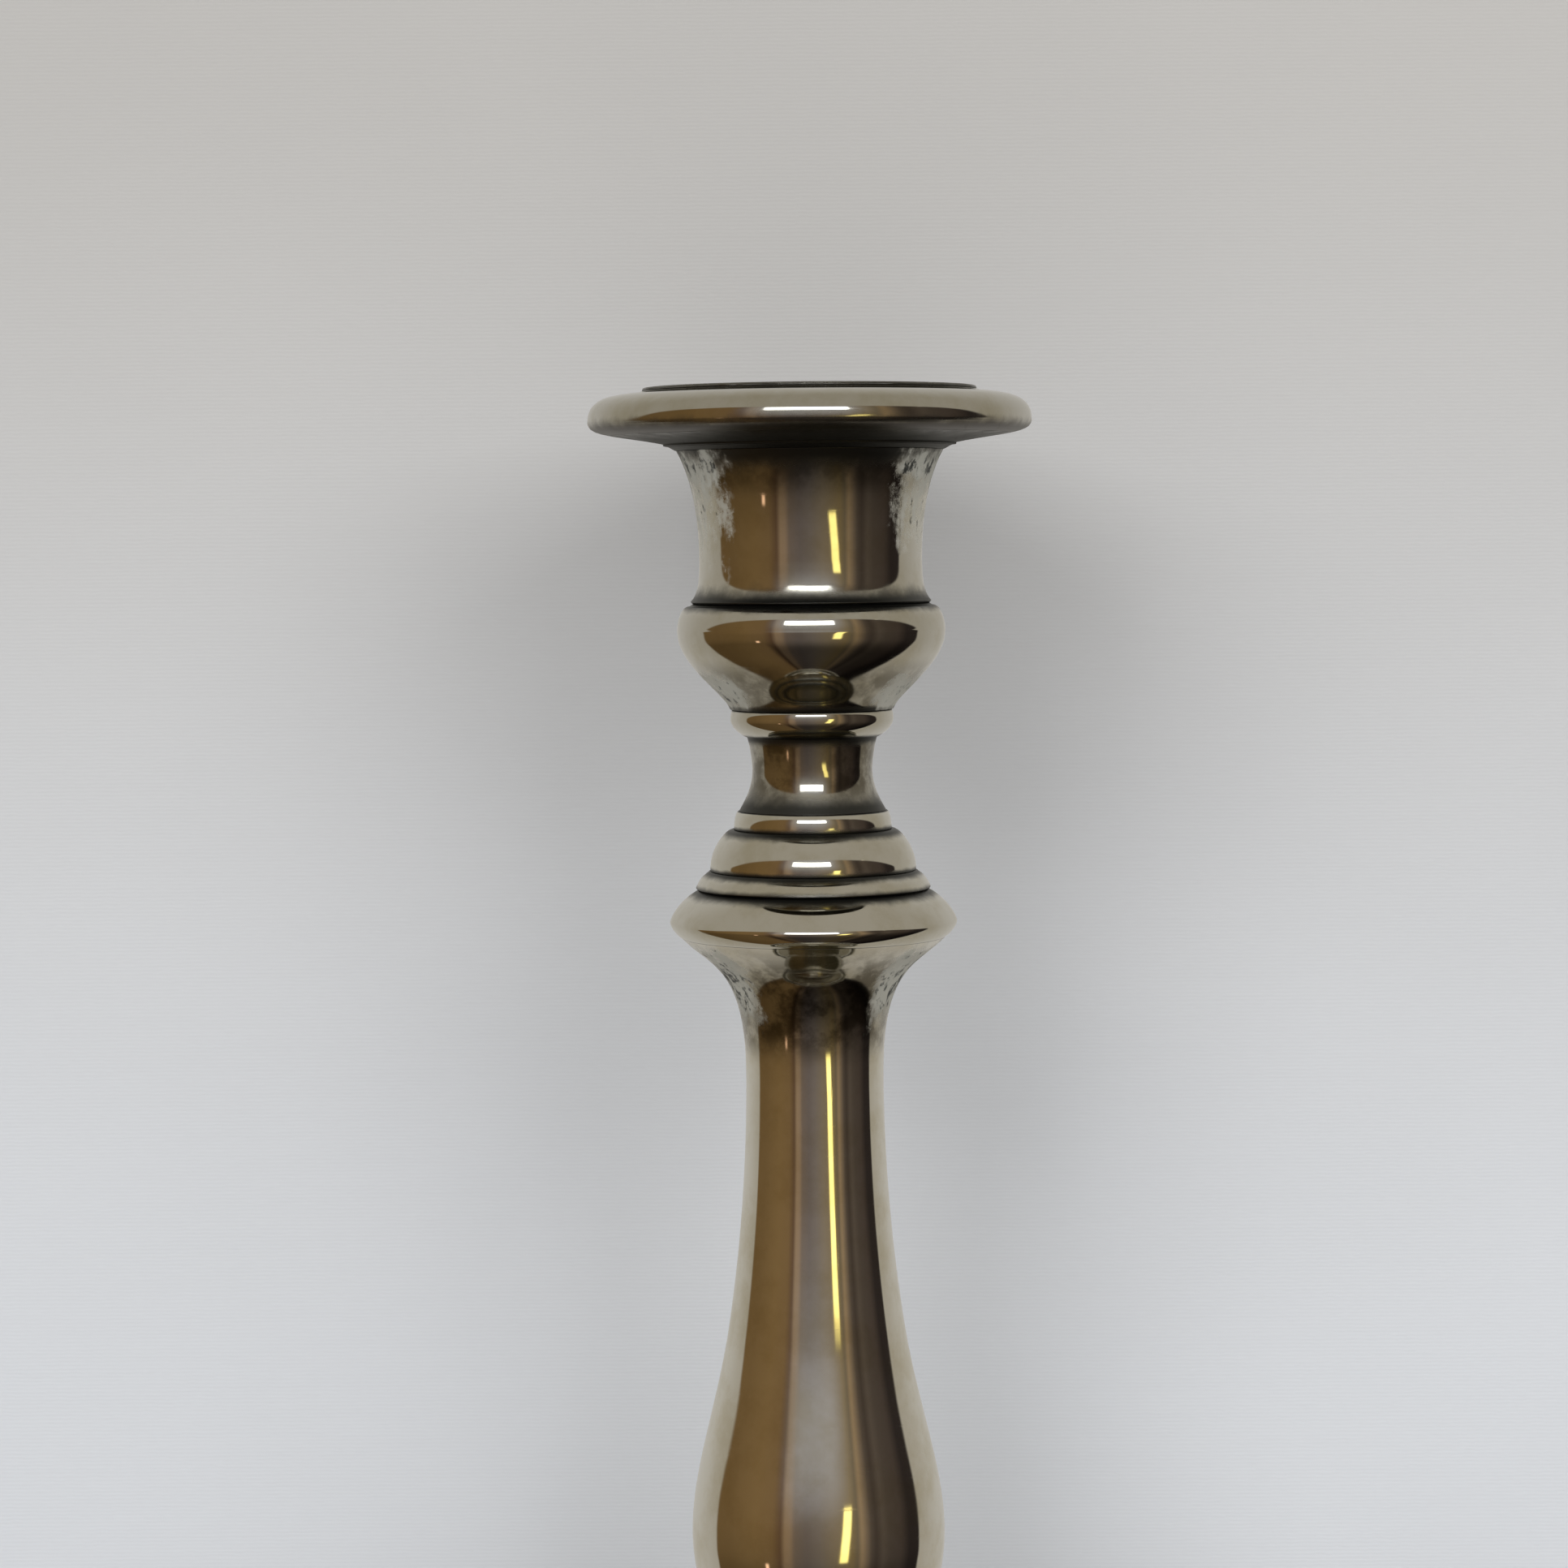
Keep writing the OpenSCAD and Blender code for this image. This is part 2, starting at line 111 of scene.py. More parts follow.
# A rounded corner takes up to this share of each side, and curves turn in small pieces
corner_share = 0.3
corner_steps = (0, 0.25, 0.5, 0.75, 1)
turn_per_piece = 5
room_for_end = 0.4


def softened(loop, edge, sharp=27, straight=0.3):
    """The section with smooth curves through its points and its sharp corners rounded off."""
    loop = [p for i, p in enumerate(loop) if turn_at(loop, i) > straight]
    n = len(loop)
    corner = [turn_at(loop, i) > sharp for i in range(n)]
    points = []
    for i in range(n):
        before, here, after, beyond = (loop[(i + k) % n] for k in (-1, 0, 1, 2))
        length = hypot(after[0] - here[0], after[1] - here[1])
        cut = min(edge / length, corner_share)
        if corner[i]:
            length_before = hypot(here[0] - before[0], here[1] - before[1])
            reach = min(edge, corner_share * length_before, corner_share * length)
            side = between(here, before, reach / length_before)
            other = between(here, after, reach / length)
            for t in corner_steps:
                points.append(between(between(side, here, t), between(here, other, t), t))
        else:
            points.append(here)
        first = between(here, after, -1) if corner[i] else before
        final = between(after, here, -1) if corner[(i + 1) % n] else beyond
        sharper = max(turn_at(loop, i), turn_at(loop, (i + 1) % n))
        pieces = 2 + ceil(sharper / turn_per_piece)
        low = cut * 2 if corner[i] else 0
        high = 1 - cut * 2 if corner[(i + 1) % n] else 1
        if corner[i] and low < room_for_end:
            points.append(on_curve(first, here, after, final, low))
        for k in range(1, pieces):
            points.append(on_curve(first, here, after, final, low + (high - low) * k / pieces))
        if corner[(i + 1) % n] and high > 1 - room_for_end:
            points.append(on_curve(first, here, after, final, high))
    return points


# A point nearer the axis than this is a single point of the mesh, not a ring
on_axis = 1e-6


def spun(name, section, facets=160):
    """A mesh turned about the stem's axis from a closed section of (radius, height) points."""
    verts, rings = [], []
    for r, z in section:
        count = facets if r > on_axis else 1
        rings.append([len(verts) + k % count for k in range(facets)])
        verts += [(r * cos(2 * pi * k / facets), r * sin(2 * pi * k / facets), z)
                  for k in range(count)]
    faces = []
    for low, high in zip(rings, rings[1:] + rings[:1]):
        for k in range(facets):
            side = (k + 1) % facets
            face = dict.fromkeys((low[k], low[side], high[side], high[k]))
            if len(face) > 2:
                faces.append(tuple(face))
    mesh = bpy.data.meshes.new(name)
    mesh.from_pydata(verts, [], faces)
    area = sum(a[0] * b[1] - b[0] * a[1] for a, b in zip(section, section[1:] + section[:1]))
    if area < 0:
        mesh.flip_normals()
    mesh.shade_smooth()
    piece = bpy.data.objects.new(name, mesh)
    bpy.context.scene.collection.objects.link(piece)
    return piece


def spun_sheet(name, node, edge=0.12 * MM):
    """The finished piece for a turned CAD node: the same section, smoothed and softened."""
    return spun(name, softened(section_of(node), edge))


def new_group(name, inputs, outputs):
    """An empty shader node group with its sockets; inputs give each socket's usual value."""
    group = bpy.data.node_groups.new(name, "ShaderNodeTree")
    group.interface.new_socket("Position", in_out="INPUT", socket_type="NodeSocketVector")
    for label, usual in inputs.items():
        socket = group.interface.new_socket(label, in_out="INPUT", socket_type="NodeSocketFloat")
        socket.default_value = usual
    for label in outputs:
        group.interface.new_socket(label, in_out="OUTPUT", socket_type="NodeSocketFloat")
    return group, group.nodes.new("NodeGroupInput"), group.nodes.new("NodeGroupOutput")


def add(tree, kind, links=(), **settings):
    """A node with its settings, and its inputs set or linked in order of (socket, source)."""
    node = tree.nodes.new(kind)
    for key, value in settings.items():
        setattr(node, key, value)
    for socket, source in links:
        if isinstance(source, bpy.types.NodeSocket):
            tree.links.new(source, node.inputs[socket])
        else:
            node.inputs[socket].default_value = source
    return node


def sums(tree, operation, *sources):
    """The output of a Math node."""
    return add(tree, "ShaderNodeMath", enumerate(sources), operation=operation).outputs[0]


def ramped(tree, source, low, high, start=0.0, end=1.0):
    """The source mapped smoothly from low..high onto start..end."""
    links = [(0, source), (1, low), (2, high), (3, start), (4, end)]
    return add(tree, "ShaderNodeMapRange", links, interpolation_type="SMOOTHSTEP").outputs[0]


def cloudy(tree, position, scale, detail=3.0, rough=0.55, stretch=(1, 1, 1)):
    """Noise over the position, stretched along each axis."""
    placed = add(tree, "ShaderNodeMapping", [(0, position), (3, stretch)]).outputs[0]
    links = [("Vector", placed), ("Scale", scale), ("Detail", detail), ("Roughness", rough)]
    return add(tree, "ShaderNodeTexNoise", links).outputs["Fac"]


def build_hand_polish():
    """Marks of years of polishing: fine lines, a dull bloom, and the slight waves of sheet."""
    tree, given, out = new_group(
        "Hand_Polish", {"Line Scale": 2600.0, "Wave Scale": 90.0}, ["Lines", "Bloom", "Height"])
    position = given.outputs["Position"]
    across = cloudy(tree, position, given.outputs["Line Scale"], 2, 0.5, (0.05, 0.05, 1))
    along = cloudy(tree, position, given.outputs["Line Scale"], 2, 0.5, (1, 0.06, 0.08))
    lines = sums(tree, "MAXIMUM", ramped(tree, across, 0.6, 0.78), ramped(tree, along, 0.64, 0.8))
    bloom = ramped(tree, cloudy(tree, position, 160, 5, 0.6), 0.38, 0.72)
    waves = cloudy(tree, position, given.outputs["Wave Scale"], 1, 0.4)
    fine = sums(tree, "MULTIPLY", lines, 0.02)
    tree.links.new(lines, out.inputs["Lines"])
    tree.links.new(bloom, out.inputs["Bloom"])
    tree.links.new(sums(tree, "SUBTRACT", waves, fine), out.inputs["Height"])
    return tree


def build_joint_tarnish():
    """Dark tarnish left in the angles at a piece's top and bottom, where no cloth reaches."""
    tree, given, out = new_group(
        "Joint_Tarnish",
        {"Top": 0.0, "Bottom": 0.0, "Top Reach": 0.001, "Bottom Reach": 0.001}, ["Mask"])
    position = given.outputs["Position"]
    height = add(tree, "ShaderNodeSeparateXYZ", [(0, position)]).outputs["Z"]
    ragged = sums(tree, "MULTIPLY_ADD", cloudy(tree, position, 420, 4, 0.6), 1.1, 0.5)
    from_top = sums(tree, "SUBTRACT", given.outputs["Top"], height)
    from_bottom = sums(tree, "SUBTRACT", height, given.outputs["Bottom"])
    masks = []
    for gap, reach in ((from_top, "Top Reach"), (from_bottom, "Bottom Reach")):
        share = sums(tree, "DIVIDE", gap, sums(tree, "MULTIPLY", given.outputs[reach], ragged))
        masks.append(ramped(tree, share, 0.25, 1.25, 1.0, 0.0))
    tree.links.new(sums(tree, "MAXIMUM", *masks), out.inputs["Mask"])
    return tree


def aside_of(tree, parts):
    """How far round from the middle of the front or back: 0 there, 1 at the sides."""
    from_axis = sums(tree, "SQRT", sums(tree, "ADD", sums(tree, "POWER", parts["X"], 2.0),
                                        sums(tree, "POWER", parts["Y"], 2.0)))
    return sums(tree, "DIVIDE", sums(tree, "ABSOLUTE", parts["X"]), from_axis)


def build_old_film():
    """Brown film of tarnish in a hollow, cloudy, and thinner at the middle of the front."""
    tree, given, out = new_group(
        "Old_Film", {"Level": 0.0, "Reach": 0.01, "Amount": 1.0, "Front": 1.0}, ["Film"])
    position = given.outputs["Position"]
    parts = add(tree, "ShaderNodeSeparateXYZ", [(0, position)]).outputs
    gap = sums(tree, "ABSOLUTE", sums(tree, "SUBTRACT", parts["Z"], given.outputs["Level"]))
    near = ramped(tree, sums(tree, "DIVIDE", gap, given.outputs["Reach"]), 0.4, 1.0, 1.0, 0.0)
    kept = ramped(tree, aside_of(tree, parts), 0.12, 0.5, given.outputs["Front"], 1.0)
    cloud = ramped(tree, cloudy(tree, position, 260, 5, 0.65), 0.36, 0.6, 0.4, 1.0)
    film = sums(tree, "MULTIPLY", sums(tree, "MULTIPLY", near, kept), cloud)
    tree.links.new(sums(tree, "MULTIPLY", film, given.outputs["Amount"]), out.inputs["Film"])
    return tree


def build_polish_residue():
    """Chalky polish dried in a corner, wiped off the middle of the front, and its dark specks."""
    tree, given, out = new_group(
        "Polish_Residue", {"Level": 0.0, "Reach": 0.01, "Amount": 1.0}, ["Chalk", "Specks"])
    position = given.outputs["Position"]
    parts = add(tree, "ShaderNodeSeparateXYZ", [(0, position)]).outputs
    gap = sums(tree, "ABSOLUTE", sums(tree, "SUBTRACT", parts["Z"], given.outputs["Level"]))
    near = ramped(tree, sums(tree, "DIVIDE", gap, given.outputs["Reach"]), 0.0, 1.0, 1.0, 0.0)
    unwiped = ramped(tree, aside_of(tree, parts), 0.5, 0.8)
    amount = sums(tree, "MULTIPLY", sums(tree, "MULTIPLY", near, unwiped), given.outputs["Amount"])
    blotch = cloudy(tree, position, 520, 7, 0.72)
    runs = cloudy(tree, position, 480, 5, 0.65, (1, 1, 0.3))
    patchy = sums(tree, "ADD", sums(tree, "MULTIPLY", blotch, 0.55),
                  sums(tree, "MULTIPLY", runs, 0.55))
    bar = sums(tree, "SUBTRACT", 0.80, sums(tree, "MULTIPLY", amount, 0.40))
    tree.links.new(ramped(tree, sums(tree, "SUBTRACT", patchy, bar), -0.07, 0.17, 0.0, 0.9),
                   out.inputs["Chalk"])
    dirt = cloudy(tree, position, 700, 5, 0.75, (1, 1, 0.6))
    speck_bar = sums(tree, "SUBTRACT", 0.84, sums(tree, "MULTIPLY", amount, 0.29))
    tree.links.new(ramped(tree, sums(tree, "SUBTRACT", dirt, speck_bar), -0.03, 0.07),
                   out.inputs["Specks"])
    return tree


hand_polish = build_hand_polish()
joint_tarnish = build_joint_tarnish()
old_film = build_old_film()
polish_residue = build_polish_residue()


def placed(tree, group, position, **values):
    """A group's node with its own values; an underscore stands for the space in a name."""
    node = add(tree, "ShaderNodeGroup", node_tree=group)
    tree.links.new(position, node.inputs["Position"])
    for label, value in values.items():
        node.inputs[label.replace("_", " ")].default_value = value
    return node


def mixed(tree, factor, a, b):
    """Two colours, or a colour and a colour socket, mixed by a factor."""
    node = add(tree, "ShaderNodeMix", data_type="RGBA")
    for socket, source in ((node.inputs[0], factor), (node.inputs[6], a), (node.inputs[7], b)):
        if isinstance(source, bpy.types.NodeSocket):
            tree.links.new(source, socket)
        else:
            socket.default_value = (*source, 1) if isinstance(source, tuple) else source
    return node.outputs[2]


def new_material(name):
    """A material with its shader, and where on the object each point lies."""
    material = bpy.data.materials.new(name)
    material.use_nodes = True
    tree = material.node_tree
    shader = tree.nodes["Principled BSDF"]
    position = tree.nodes.new("ShaderNodeTexCoord").outputs["Object"]
    return material, tree, shader, position


# Colours of the brown film in hollows, of dried polish and of its dark specks, the share of
# the metal that thick polish hides, and how deep the marks and waves of the sheet go
film_tone = (0.13, 0.112, 0.08)
chalk_tone = (0.47, 0.465, 0.41)
speck_tone = (0.05, 0.053, 0.048)
chalk_cover = 0.8
relief = 0.12 * MM


def silver(name, node, top_reach, bottom_reach, residue=(), films=(),
           bright=(0.84, 0.815, 0.735), warm=(0.73, 0.685, 0.555), black=(0.072, 0.073, 0.068),
           dull=0.05):
    """Old silver: a warm mirror, dark in its joints, with films and dried polish by level."""
    material, tree, shader, position = new_material(name)
    low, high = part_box(node)
    marks = placed(tree, hand_polish, position)
    joint = placed(tree, joint_tarnish, position, Top=high.z, Bottom=low.z,
                   Top_Reach=top_reach, Bottom_Reach=bottom_reach).outputs["Mask"]
    tone = mixed(tree, marks.outputs["Bloom"], bright, warm)
    rough = sums(tree, "MULTIPLY_ADD", marks.outputs["Lines"], 0.05, dull)
    rough = sums(tree, "MULTIPLY_ADD", marks.outputs["Bloom"], 0.035, rough)
    height = marks.outputs["Height"]
    shader.inputs["Metallic"].default_value = 1.0
    for level, reach, amount, front in films:
        film = placed(tree, old_film, position, Level=level, Reach=reach, Amount=amount,
                      Front=front).outputs["Film"]
        tone = mixed(tree, film, tone, film_tone)
        rough = sums(tree, "MULTIPLY_ADD", film, 0.05, rough)
    metal = None
    for level, reach, amount in residue:
        layer = placed(tree, polish_residue, position, Level=level, Reach=reach, Amount=amount)
        chalk, specks = layer.outputs["Chalk"], layer.outputs["Specks"]
        joint = sums(tree, "MAXIMUM", sums(tree, "MULTIPLY_ADD", chalk, -chalk_cover, joint), 0.0)
        tone = mixed(tree, chalk, tone, chalk_tone)
        tone = mixed(tree, specks, tone, speck_tone)
        rough = sums(tree, "MULTIPLY_ADD", sums(tree, "MAXIMUM", chalk, specks), 0.5, rough)
        height = sums(tree, "MULTIPLY_ADD", chalk, 0.3, height)
        cover = sums(tree, "MULTIPLY", chalk, chalk_cover)
        metal = sums(tree, "SUBTRACT", 1.0 if metal is None else metal, cover)
    if metal is not None:
        tree.links.new(sums(tree, "MAXIMUM", metal, 0.1), shader.inputs["Metallic"])
    tone = mixed(tree, joint, tone, black)
    rough = sums(tree, "MULTIPLY_ADD", joint, 0.35, rough)
    bump = add(tree, "ShaderNodeBump", [("Strength", 0.25), ("Distance", relief)])
    tree.links.new(height, bump.inputs["Height"])
    tree.links.new(tone, shader.inputs["Base Color"])
    tree.links.new(sums(tree, "MINIMUM", rough, 0.9), shader.inputs["Roughness"])
    tree.links.new(bump.outputs["Normal"], shader.inputs["Normal"])
    return material


def fit(piece, node, body, material):
    """Gives a finished piece its material and its place on the frame."""
    piece.data.materials.append(material)
    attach(piece, body)
    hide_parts(node)


for node, top_reach, bottom_reach in (
        ("foot_rim", 0.12 * MM, 0.4 * MM), ("foot_step", 0.4 * MM, 0.3 * MM),
        ("foot_dome", 0.1 * MM, 0.6 * MM), ("foot_neck", 0.5 * MM, 0.35 * MM)):
    shell = spun_sheet(node + "_silver", node)
    fit(shell, node, "root", silver(node.title() + "_Finish", node,
                                                   top_reach, bottom_reach))


# ---- Lower knop -------------------------------------------------------------------------
# Between the foot and the stem sit a hollow knop, a waisted spool and a small turned bead,
# pressed from sheet in two halves and soldered, then skimmed bright on the lathe.

for node, slot, top_reach, bottom_reach in (
        ("lower_knop", "stem_silver", 0.5 * MM, 0.5 * MM),
        ("lower_spool", "stem_silver", 0.6 * MM, 0.6 * MM),
        ("foot_ring", "cast_silver", 0.4 * MM, 0.4 * MM)):
    fit(spun_sheet(node + "_silver", node), node, "root",
        silver(node.title() + "_Finish", node, top_reach, bottom_reach))


# ---- Stem -------------------------------------------------------------------------------
# The stem is one shell, raised from a seamed tube: a curved shoulder under the knop, a slim
# neck, and a long swell to the belly. Dried polish streaks the shoulder under the knop.

stem_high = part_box("stem_shell")[1]
fine_edge = 0.03 * MM
fit(spun_sheet("stem_silver", "stem_shell", fine_edge), "stem_shell", "root",
    silver("Stem_Finish", "stem_shell", 0.03 * MM, 0.7 * MM,
           residue=[(stem_high.z - 5 * MM, 10 * MM, 1.15)],
           films=[(stem_high.z - 7 * MM, 8 * MM, 0.92, 1.0)]))


# ---- Knop and its rings -----------------------------------------------------------------
# A wide knop with a crisp edge, and above it a thin fillet, a cushion and a small bead. Each
# is a turned ring, and the angles between them have gone black.

for node, slot, top_reach, bottom_reach, edge in (
        ("knop", "stem_silver", 0.8 * MM, 0.02 * MM, fine_edge),
        ("fillet_ring", "cast_silver", 0.7 * MM, 0.65 * MM, 0.12 * MM),
        ("cushion_ring", "stem_silver", 0.8 * MM, 0.5 * MM, 0.12 * MM),
        ("bead_ring", "cast_silver", 0.1 * MM, 0.5 * MM, 0.12 * MM)):
    fit(spun_sheet(node + "_silver", node, edge), node, "root",
        silver(node.title() + "_Finish", node, top_reach, bottom_reach,
               bright=(0.72, 0.70, 0.625), warm=(0.62, 0.585, 0.475)))


# ---- Waist and collar -------------------------------------------------------------------
# A waisted spool, raised from sheet and worn brown, carries a solid cast collar. The collar
# is soldered on under the bulb, and takes the pull of the tie rod's nut.

aged = {"bright": (0.66, 0.64, 0.57), "warm": (0.57, 0.535, 0.43)}
waist_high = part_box("waist_spool")[1]
fit(spun_sheet("waist_silver", "waist_spool"), "waist_spool", "root",
    silver("Waist_Finish", "waist_spool", 0.9 * MM, 2.3 * MM,
           films=[(waist_high.z - 3 * MM, 6 * MM, 0.85, 0.25)], **aged))
fit(spun_sheet("collar_silver", "collar_ring"), "collar_ring", "root",
    silver("Collar_Finish", "collar_ring", 0.22 * MM, 0.35 * MM, **aged))


# ---- Candle cup -------------------------------------------------------------------------
# The cup is a bulb and a flared bell of sheet with a black groove between them, and a liner
# whose flange closes the top. Polish has dried under the flange and in the hollow below.

bulb_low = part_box("cup_bulb")[0]
cup_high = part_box("cup_shell")[1]
fit(spun_sheet("bulb_silver", "cup_bulb"), "cup_bulb", "root",
    silver("Bulb_Finish", "cup_bulb", 0.85 * MM, 0.7 * MM,
           residue=[(bulb_low.z + 2 * MM, 5.5 * MM, 1.0)],
           films=[(bulb_low.z + 1.5 * MM, 5 * MM, 0.75, 0.35)], **aged))
fit(spun_sheet("cup_silver", "cup_shell"), "cup_shell", "root",
    silver("Cup_Finish", "cup_shell", 2.5 * MM, 1.9 * MM,
           residue=[(cup_high.z - 2 * MM, 4.5 * MM, 1.15), (cup_high.z - 6 * MM, 14 * MM, 0.8)],
           films=[(cup_high.z - 1 * MM, 5 * MM, 0.65, 1.0)], **aged))
fit(spun_sheet("liner_silver", "cup_liner"), "cup_liner", "root",
    silver("Liner_Finish", "cup_liner", 1.4 * MM, 0.5 * MM, dull=0.16))


# ---- Nozzle -----------------------------------------------------------------------------
# The loose nozzle lifts out: a drip pan whose edge is rolled over an iron wire, a duller
# plate under it, a thin raised ring round the socket, and a sleeve that drops in the liner.

for node, slot, top_reach, bottom_reach, finish in (
        ("nozzle_pan", "nozzle_silver", 0.05 * MM, 1.5 * MM,
         {"bright": (0.61, 0.59, 0.525), "warm": (0.53, 0.50, 0.40),
          "black": (0.11, 0.10, 0.09)}),
        ("nozzle_sleeve", "nozzle_silver", 0.3 * MM, 0.5 * MM, {"dull": 0.14}),
        ("nozzle_under_plate", "dull_silver", 0.1 * MM, 1.6 * MM,
         {"bright": (0.17, 0.16, 0.15), "warm": (0.085, 0.078, 0.07), "dull": 0.24}),
        ("nozzle_top_ring", "dull_silver", 0.05 * MM, 0.15 * MM,
         {"bright": (0.30, 0.295, 0.27), "warm": (0.17, 0.165, 0.15), "dull": 0.26})):
    fit(spun_sheet(node + "_silver", node), node, "nozzle",
        silver(node.title() + "_Finish", node, top_reach, bottom_reach, **finish))


def plain_stuff(name, pale, dark, scale, rough, height, metal=0.0, stretch=(1, 1, 1)):
    """Iron, steel, brass, pitch or felt: two tones clouded together, with a fine relief."""
    material, tree, shader, position = new_material(name)
    cloud = cloudy(tree, position, scale, 5, 0.62, stretch)
    grain = cloudy(tree, position, scale * 7, 3, 0.6, stretch)
    tone = mixed(tree, ramped(tree, cloud, 0.35, 0.68), dark, pale)
    tree.links.new(tone, shader.inputs["Base Color"])
    tree.links.new(ramped(tree, grain, 0.3, 0.7, rough - 0.08, rough + 0.08),
                   shader.inputs["Roughness"])
    bump = add(tree, "ShaderNodeBump", [("Strength", 0.5), ("Distance", height)])
    tree.links.new(sums(tree, "ADD", grain, cloud), bump.inputs["Height"])
    tree.links.new(bump.outputs["Normal"], shader.inputs["Normal"])
    shader.inputs["Metallic"].default_value = metal
    return material


fit(spun_sheet("rim_wire_iron", "nozzle_rim_wire"), "nozzle_rim_wire", "nozzle",
    plain_stuff("Iron_Wire", (0.20, 0.185, 0.17), (0.09, 0.06, 0.045), 420, 0.5, 0.04 * MM, 1.0))


# ---- Pitch ------------------------------------------------------------------------------
# Stem and foot were filled with hot pitch, which gives the thin sheet its weight and holds
# the rod. It sets as dark brown glassy cores that never show from outside.

pitch = plain_stuff("Pitch", (0.035, 0.022, 0.014), (0.014, 0.009, 0.006), 130, 0.25, 0.1 * MM)
for node in ("stem_filler", "base_filler"):
    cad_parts[node].material_slots[0].material = pitch


# ---- Tie rod, nuts and washers ----------------------------------------------------------
# A steel rod, threaded at both ends, draws cup, stem and foot together between a brass nut
# and washer in the cup's liner and another pair in the recess under the base plate.

thread_pitch = 0.8 * MM
thread_depth = 0.42 * MM
thread_length = 12 * MM
rod_low, rod_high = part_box("tie_rod")


def threaded_rod(name, low, high, facets=48, rows=6):
    """A rod with a true screw thread at each end and a small chamfer at each tip."""
    radius = high.x
    step = thread_pitch / rows
    count = round(thread_length / step)
    ends = [low.z + i * step for i in range(count)]
    heights = ends + [low.z + high.z - z for z in reversed(ends)]
    verts, faces = [], []
    for z in heights:
        tip = min(z - low.z, high.z - z)
        for k in range(facets):
            turn = (z / thread_pitch - k / facets) % 1
            cut = thread_depth * (1 - abs(2 * turn - 1)) * min(1, (thread_length - tip) / MM)
            r = min(radius - cut, radius - thread_depth + tip)
            verts.append((r * cos(2 * pi * k / facets), r * sin(2 * pi * k / facets), z))
    for j in range(len(heights) - 1):
        for k in range(facets):
            side = (k + 1) % facets
            faces.append((j * facets + k, j * facets + side,
                          (j + 1) * facets + side, (j + 1) * facets + k))
    faces.append(tuple(reversed(range(facets))))
    faces.append(tuple((len(heights) - 1) * facets + k for k in range(facets)))
    mesh = bpy.data.meshes.new(name)
    mesh.from_pydata(verts, [], faces)
    piece = bpy.data.objects.new(name, mesh)
    bpy.context.scene.collection.objects.link(piece)
    return piece


rod_clearance = 0.05 * MM
bore_chamfer = 0.3 * MM
face_share = 0.985
corner_slope = 1.75


def hexagon_nut(name, low, high, hole, facets=72):
    """A hexagonal nut whose corners are chamfered at both faces."""
    flat = high.x * cos(pi / 6)
    rise = high.z - low.z
    verts = []
    for share in (0, 0.06, 0.12, 0.2, 0.8, 0.88, 0.94, 1):
        height = share * rise
        lift = min(height, rise - height)
        for k in range(facets):
            angle = 2 * pi * k / facets
            side = (angle % (pi / 3)) - pi / 6
            r = min(flat / cos(side), flat * face_share + lift * corner_slope)
            verts.append((r * cos(angle), r * sin(angle), low.z + height))
    wide = hole + bore_chamfer
    for r, height in ((wide, rise), (hole, rise - bore_chamfer), (hole, bore_chamfer), (wide, 0)):
        for k in range(facets):
            angle = 2 * pi * k / facets
            verts.append((r * cos(angle), r * sin(angle), low.z + height))
    rows = len(verts) // facets
    faces = []
    for j in range(rows):
        for k in range(facets):
            side = (k + 1) % facets
            up = (j + 1) % rows
            faces.append((j * facets + k, j * facets + side, up * facets + side, up * facets + k))
    mesh = bpy.data.meshes.new(name)
    mesh.from_pydata(verts, [], faces)
    piece = bpy.data.objects.new(name, mesh)
    bpy.context.scene.collection.objects.link(piece)
    return piece


steel = plain_stuff("Turned_Steel", (0.42, 0.41, 0.40), (0.20, 0.18, 0.165), 300, 0.34,
                    0.03 * MM, 1.0, (1, 1, 3))
brass = plain_stuff("Old_Brass", (0.52, 0.36, 0.14), (0.27, 0.17, 0.07), 260, 0.36,
                    0.03 * MM, 1.0)
fit(threaded_rod("tie_rod_steel", rod_low, rod_high), "tie_rod", "root", steel)
rod_hole = rod_high.x + rod_clearance
for node in ("top_nut", "bottom_nut"):
    low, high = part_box(node)
    fit(hexagon_nut(node + "_brass", low, high, rod_hole), node, "root", brass)
for node in ("top_washer", "bottom_washer"):
    fit(spun_sheet(node + "_steel", node), node, "root", steel)


# ---- Base plate and felt ----------------------------------------------------------------
# A pressed steel disc closes the foot over the hem, and green felt is glued under it to
# save the table. The felt is a little compressed at its edge.

fit(spun_sheet("base_plate_steel", "base_plate"), "base_plate", "root",
    plain_stuff("Plate_Steel", (0.30, 0.295, 0.29), (0.14, 0.125, 0.11), 180, 0.42,
                0.05 * MM, 1.0))
felt_low, felt_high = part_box("felt_pad")
felt_round = 0.35 * MM
felt_edge = [(0, felt_low.z), (felt_high.x * 0.35, felt_low.z), (felt_high.x * 0.7, felt_low.z),
             (felt_high.x - felt_round * 2, felt_low.z)]
felt_edge += [(felt_high.x - felt_round * (1 - sin(radians(a))),
               felt_low.z + felt_round * (1 - cos(radians(a)))) for a in (15, 35, 55, 75, 90)]
felt_edge += [(felt_high.x, felt_high.z - felt_round / 2),
              (felt_high.x - felt_round / 2, felt_high.z), (0, felt_high.z)]
felt = spun("felt_disc", felt_edge)
fit(felt, "felt_pad", "root",
    plain_stuff("Green_Felt", (0.022, 0.075, 0.04), (0.010, 0.038, 0.02), 900, 0.88, 0.25 * MM))


# ---- Table and cloth --------------------------------------------------------------------
# A pale table, and a plain cloth hung close behind the candlestick, swept back over its
# foot. Both are seen from their front only and fade away at their edges, and the table is
# open under the foot, so that the felt is seen from below.

cloud_tone = (0.25, 0.25, 0.25)
# Heights between which the painted light on a cloth goes from its low tone to its high tone
painted_light_from = 85 * MM
painted_light_to = 285 * MM


